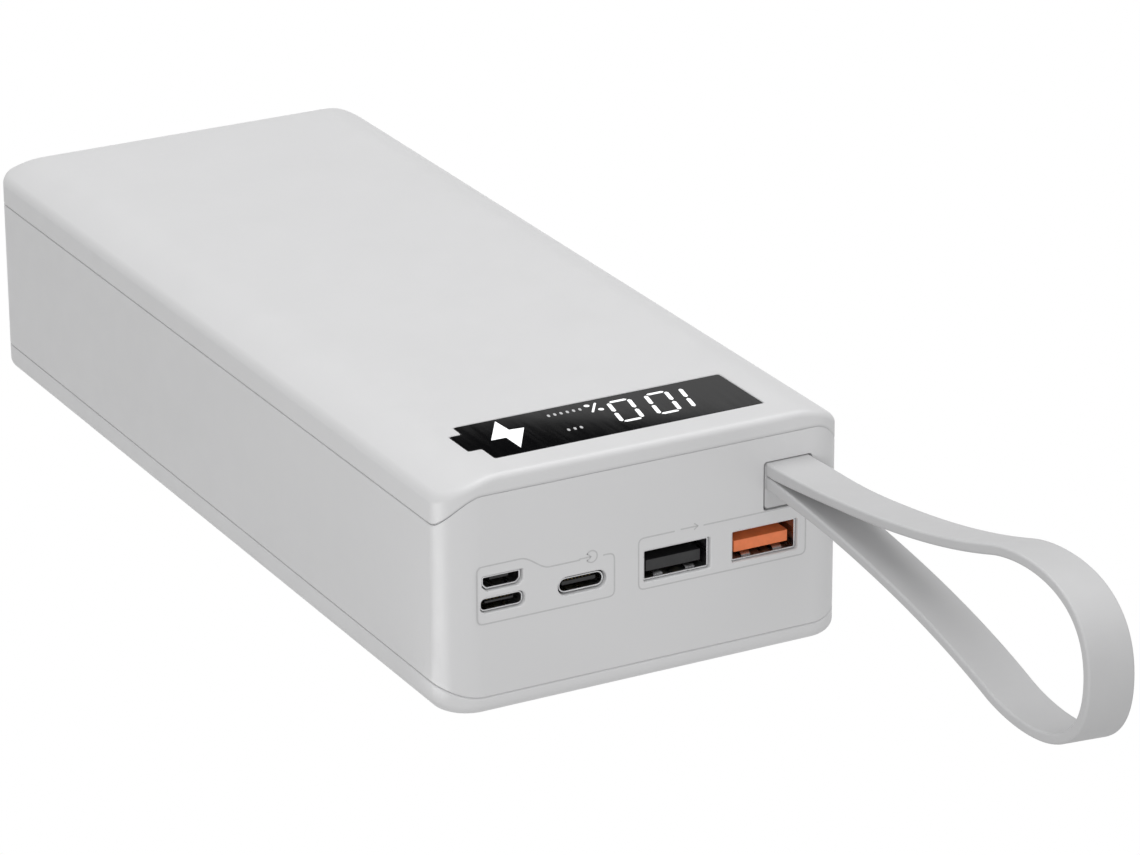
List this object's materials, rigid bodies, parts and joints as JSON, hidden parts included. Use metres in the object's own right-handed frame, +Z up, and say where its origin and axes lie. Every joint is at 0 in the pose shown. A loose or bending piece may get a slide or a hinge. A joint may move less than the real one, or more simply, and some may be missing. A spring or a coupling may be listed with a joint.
{
  "type": "power bank",
  "caption": "Thick rectangular power bank in a white plastic case with a glossy battery-shaped display, USB ports on one end and a flat wrist-strap loop.",
  "frame": {"origin": "centre of the case's flat bottom face", "axes": "+Z up through the display; -Y out of the port wall, where the strap leaves; +X to the right of someone who faces the ports"},
  "size_m": [0.0805, 0.3023, 0.0489],
  "materials": {
    "case_plastic": "fine spark-eroded white plastic, matte",
    "strap_rubber": "smooth pale grey elastomer",
    "window_acrylic": "polished black acrylic",
    "display_black": "black potted display block",
    "circuit_board": "green solder mask over glass laminate",
    "port_steel": "stamped stainless steel",
    "capacitor_can": "bare aluminium can",
    "black_insulator": "moulded black nylon",
    "orange_insulator": "moulded orange nylon",
    "chip_epoxy": "black moulding compound",
    "inductor_ferrite": "pressed grey ferrite",
    "ribbon_polyimide": "amber polyimide film over copper",
    "cell_wrap": "shrink-wrapped steel can",
    "separator_sheet": "fibre insulation sheet",
    "nickel": "spot-welded nickel-plated strip",
    "foam_black": "closed-cell foam",
    "lead_red": "red silicone wire insulation",
    "lead_black": "black silicone wire insulation"
  },
  "bodies": {
    "case": {"top_cover": "case_plastic", "middle_frame": "case_plastic", "bottom_cover": "case_plastic", "strap_anchor": "strap_rubber", "display_window": "window_acrylic", "display_module": "display_black", "display_board": "circuit_board", "main_board": "circuit_board", "input_board": "circuit_board", "usb_a_shell_left": "port_steel", "usb_a_shell_right": "port_steel", "usb_c_shell": "port_steel", "micro_usb_shell": "port_steel", "eight_pin_shell": "port_steel", "board_screw_1": "port_steel", "board_screw_2": "port_steel", "board_screw_3": "port_steel", "board_screw_4": "port_steel", "capacitor": "capacitor_can", "usb_a_tongue_black": "black_insulator", "usb_c_tongue": "black_insulator", "micro_usb_tongue": "black_insulator", "eight_pin_contacts": "black_insulator", "input_header": "black_insulator", "tactile_switch": "black_insulator", "usb_a_tongue_orange": "orange_insulator", "charge_chip": "chip_epoxy", "controller_chip": "chip_epoxy", "inductor_left": "inductor_ferrite", "inductor_right": "inductor_ferrite", "display_ribbon": "ribbon_polyimide", "cell_01": "cell_wrap", "cell_02": "cell_wrap", "cell_03": "cell_wrap", "cell_04": "cell_wrap", "cell_05": "cell_wrap", "cell_06": "cell_wrap", "cell_07": "cell_wrap", "cell_08": "cell_wrap", "cell_09": "cell_wrap", "cell_10": "cell_wrap", "cell_11": "cell_wrap", "cell_12": "cell_wrap", "cell_13": "cell_wrap", "cell_14": "cell_wrap", "cell_15": "cell_wrap", "cell_16": "cell_wrap", "cell_17": "cell_wrap", "cell_18": "cell_wrap", "cell_separator": "separator_sheet", "positive_strip": "nickel", "negative_strip": "nickel", "end_foam_left": "foam_black", "end_foam_right": "foam_black", "battery_lead_positive": "lead_red", "battery_lead_negative": "lead_black"},
    "strap": {"strap_loop": "strap_rubber"},
    "button": {"button_cap": "case_plastic", "switch_plunger": "black_insulator"}
  },
  "joints": [
    {"name": "strap_bend", "type": "hinge", "parent": "case", "child": "strap", "pos_m": [0.0275, -0.1023, 0.0335], "axis": [-1, 0, 0], "range_deg": [-10, 60], "stiffness_Nm_per_rad": 0.1},
    {"name": "button_press", "type": "slide", "parent": "case", "child": "button", "axis": [-1, 0, 0], "range_m": [0, 0.0004], "stiffness_N_per_m": 1500}
  ]
}
